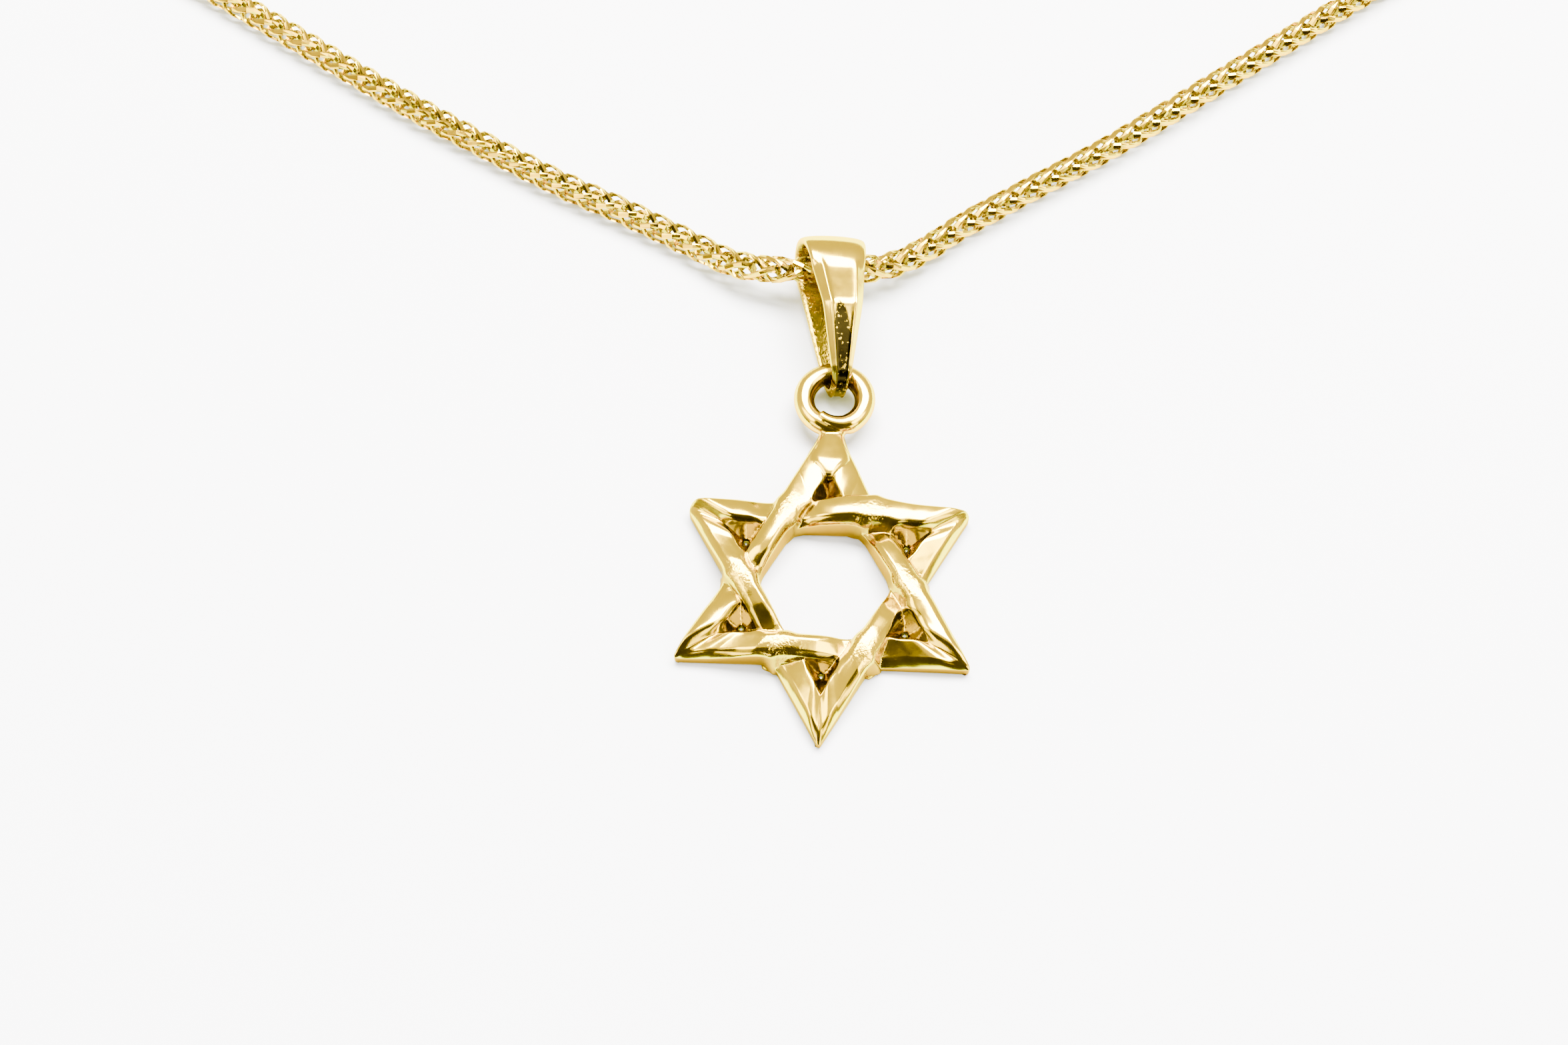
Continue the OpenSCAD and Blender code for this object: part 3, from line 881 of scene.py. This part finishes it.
def gold(name, colours, relief, cast="", cast_relief=0.0, painted_dark=""):
    """Polished gold of slightly uneven colour and gloss. Painted shade darkens it where the mesh's
    attributes mark sideways faces, steep walls and low faces, and hollows; it is rough like a casting where
    the cast attribute says;
    and it takes a painted dark reflection with painted shade where the attribute named by its last argument
    says."""
    mat, tree, shader = material(name)
    shader.inputs["Metallic"].default_value = 1.0
    shader.inputs["Specular Tint"].default_value = EDGE_TINT
    coords = tree.nodes.new("ShaderNodeTexCoord").outputs["Object"]
    colour = mix(tree, noise(tree, coords, *CLOUDS), *colours)
    # painted shade: darker gold on sideways faces, on steep walls and low faces, and in hollows
    for mark, darker in (("side", PAINTED_SIDE_SHADE), ("wall_shade", PAINTED_WALL_SHADE), ("well", WELL)):
        colour = mix(tree, attribute(tree, mark), colour, darker)
    if painted_dark:
        bare = map_range(tree, noise(tree, coords, *FLECKS), *FLECK_EDGE, 1.0, FLECK_PAINTED_DARK)
        # painted dark reflection and painted shade, broken up by flecks
        colour = mix(tree, calculate(tree, "MULTIPLY", attribute(tree, painted_dark), bare), colour, PAINTED_DARK)
    feed(tree, shader.inputs["Base Color"], colour)
    grain = noise(tree, coords, *GRAIN)
    feed(tree, shader.inputs["Roughness"], map_range(tree, grain, 0.0, 1.0, *ROUGHNESS))
    normal = bump(tree, grain, relief)
    if cast:
        pits = calculate(tree, "MULTIPLY", attribute(tree, cast), noise(tree, coords, *PITS))
        normal = bump(tree, pits, cast_relief, normal)
    feed(tree, shader.inputs["Normal"], normal)
    return mat


def mark_sides(obj):
    """Where painted shade goes by facing: 1 on outer faces that look sideways or down, 0 on those that look
    up or lie in a hollow.
    """
    side = unit((0.55 - facing_up(obj)) / 0.4)
    hollow = obj.data.attributes.get("well")
    if hollow:
        depth = np.zeros(len(side), np.float32)
        hollow.data.foreach_get("value", depth)
        side *= 1 - unit(depth / 0.3)
    set_attribute(obj, "side", side)


def dress(obj, mat):
    obj.data.materials.clear()
    obj.data.materials.append(mat)


# Build

star = make_star()
shade_star(star)
bail = make_bail()
path, clasp_plan = chain_path()
chain = make_chain(path)
end_rings, clasp = make_clasp(clasp_plan)

STAR_GOLD = gold("star_gold", STAR_COLOURS, 0.004, "groove", 0.05)
BAIL_GOLD = gold("bail_gold", BAIL_COLOURS, 0.004, "inside", 0.05, "painted_dark")
CHAIN_GOLD = gold("chain_gold", CHAIN_COLOURS, 0.002)
CLASP_GOLD = gold("clasp_gold", STAR_COLOURS, 0.003)

PIECES = [
    (star, "star", "star_gold", STAR_GOLD),
    (bail, "bail", "bail_gold", BAIL_GOLD),
    (chain, "chain", "chain_gold", CHAIN_GOLD),
    (end_rings[0], "end_ring_left", "clasp_gold", CLASP_GOLD),
    (end_rings[1], "end_ring_right", "clasp_gold", CLASP_GOLD),
    (clasp, "clasp", "clasp_gold", CLASP_GOLD),
]
for piece, node, slot, mat in PIECES:
    mark_sides(piece)
    dress(piece, mat)
    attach(piece, "root")
    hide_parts(node)

# Floor

FLOOR_REACH = 3000
FLOOR_CORNERS = [(x * FLOOR_REACH, y * FLOOR_REACH, 0) for x, y in ((-1, -1), (1, -1), (1, 1), (-1, 1))]
floor_mat, floor_tree, floor_shader = material("pale_floor")
floor_shader.inputs["Base Color"].default_value = FLOOR_WHITE
floor_shader.inputs["Roughness"].default_value = FLOOR_ROUGH
floor = new_object("floor", FLOOR_CORNERS, [[0, 1, 2, 3]])
dress(floor, floor_mat)

# Light: rosy lamps and studio, because gold that mirrors gold turns them yellow

LAMP_COLOUR = (1, 0.7, 0.68)
# Name, azimuth, elevation, distance and size in metres, and power in watts
LAMPS_M = [
    ("key_light", 168, 64, 0.6, (0.6, 0.28), 60),
    ("left_light", -82, 50, 0.7, (0.34, 0.3), 5),
    ("right_light", 78, 50, 0.7, (0.34, 0.3), 5.6),
    ("front_left_light", -42, 24, 0.7, (0.42, 0.26), 3),
    ("front_right_light", 44, 24, 0.7, (0.42, 0.26), 3),
]
# The studio from low in front (0) to high behind (1), and the dark strip where the viewer stands
STUDIO = [
    (0.0, (0.12, 0.084, 0.082, 1)), (0.42, (0.3, 0.21, 0.205, 1)),
    (0.6, (1.0, 0.7, 0.68, 1)), (1.0, (0.75, 0.525, 0.51, 1)),
]
STUDIO_STRENGTH = 2.2
STRIP_COLOUR = (0.03, 0.021, 0.02, 1)


def softbox(name, azimuth, elevation, distance, size, power):
    """A soft rectangular lamp that looks at the star."""
    back = direction(azimuth, elevation)
    lamp = bpy.data.lights.new(name, "AREA")
    lamp.shape = "RECTANGLE"
    lamp.size, lamp.size_y = size
    lamp.energy = power
    lamp.color = LAMP_COLOUR
    obj = bpy.data.objects.new(name, lamp)
    obj.location = back * distance
    obj.rotation_euler = back.to_track_quat("Z", "Y").to_euler()
    bpy.context.scene.collection.objects.link(obj)


def make_studio():
    """A world that is bright overhead and behind and dim in front."""
    world = bpy.data.worlds.new("studio")
    bpy.context.scene.world = world
    world.use_nodes = True
    tree = world.node_tree
    split = tree.nodes.new("ShaderNodeSeparateXYZ")
    tree.links.new(tree.nodes.new("ShaderNodeTexCoord").outputs["Generated"], split.inputs["Vector"])
    blend = calculate(tree, "ADD", split.outputs["Y"], split.outputs["Z"])
    ramp = tree.nodes.new("ShaderNodeValToRGB")
    tree.links.new(map_range(tree, blend, -1, 1), ramp.inputs["Fac"])
    stops = ramp.color_ramp.elements
    stops[0].color, stops[-1].color = STUDIO[0][1], STUDIO[-1][1]
    for place, colour in STUDIO[1:-1]:
        stops.new(place).color = colour
    # the strip is in front, 30 degrees to each side, and reaches up to about 77 degrees
    reach_up = map_range(tree, split.outputs["Y"], -0.2, -0.26, smooth=True)
    narrow = map_range(tree, calculate(tree, "ABSOLUTE", split.outputs["X"]), 0.54, 0.46, smooth=True)
    strip = calculate(tree, "MULTIPLY", reach_up, narrow)
    background = tree.nodes["Background"]
    feed(tree, background.inputs["Color"], mix(tree, strip, ramp.outputs["Color"], STRIP_COLOUR))
    background.inputs["Strength"].default_value = STUDIO_STRENGTH


for lamp_row in LAMPS_M:
    softbox(*lamp_row)
make_studio()

# Camera

camera = bpy.data.objects.new("camera", bpy.data.cameras.new("camera"))
back = direction(CAM_AZIMUTH, CAM_ELEVATION)
camera.location = (Vector(CAM_TARGET) + back * CAM_DISTANCE) * MM
camera.rotation_euler = back.to_track_quat("Z", "Y").to_euler()
camera.data.sensor_width = CAM_SENSOR
camera.data.sensor_fit = "HORIZONTAL"
camera.data.lens = CAM_LENS
camera.data.clip_start, camera.data.clip_end = CAM_CLIP_M
bpy.context.scene.collection.objects.link(camera)
bpy.context.scene.camera = camera
